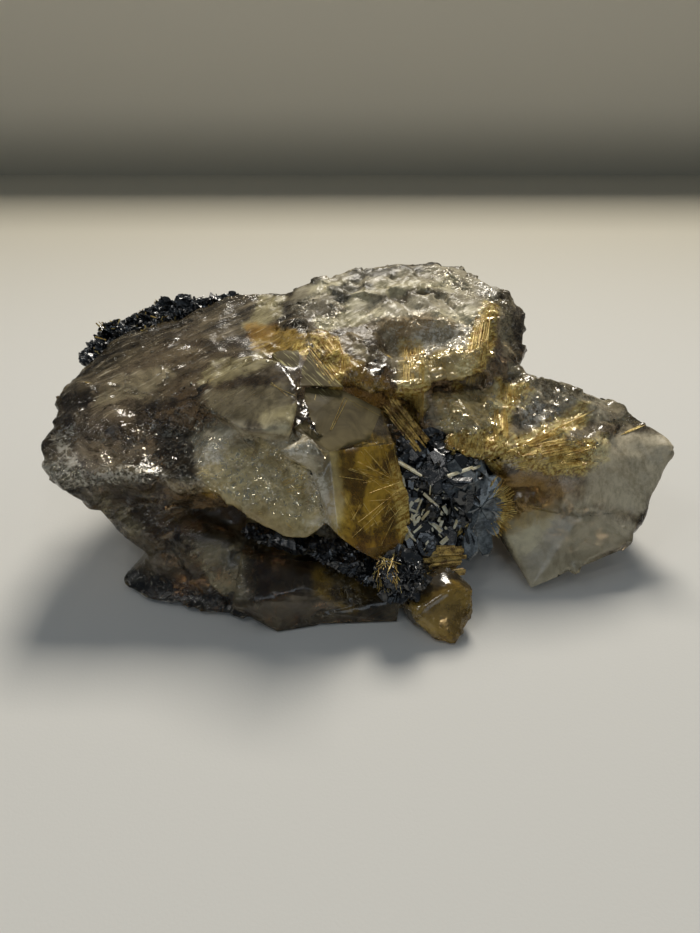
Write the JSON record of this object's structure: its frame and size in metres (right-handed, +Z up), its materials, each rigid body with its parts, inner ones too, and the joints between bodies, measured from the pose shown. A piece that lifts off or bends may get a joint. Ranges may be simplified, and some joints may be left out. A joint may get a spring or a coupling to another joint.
{
  "type": "rutilated quartz",
  "caption": "Free-standing smoky quartz specimen with hematite plates in a front hollow, a hematite crust behind and golden rutile needles; rests on a flat foot.",
  "frame": {"origin": "centre of the outline seen from above, at the level of the flat foot that the specimen rests on", "axes": "+X along the specimen's length, to the right of its show side; +Y towards its back; +Z up"},
  "size_m": [0.1501, 0.0954, 0.0538],
  "materials": {
    "smoky_quartz": "clear to milky smoky quartz, glassy on fresh breaks and satin on crystal faces, with honey-gold zones",
    "hematite": "near-black metallic plates with a blue-grey sheen",
    "rutile": "golden metallic blades and needles with fine lengthwise grooves"
  },
  "bodies": {
    "root": {"smoky_quartz": "smoky_quartz", "hematite_rosette": "hematite", "hematite_back_edge": "hematite", "rutile_bundle": "rutile", "rutile_lower_blades": "rutile", "rutile_needle": "rutile"}
  },
  "joints": []
}
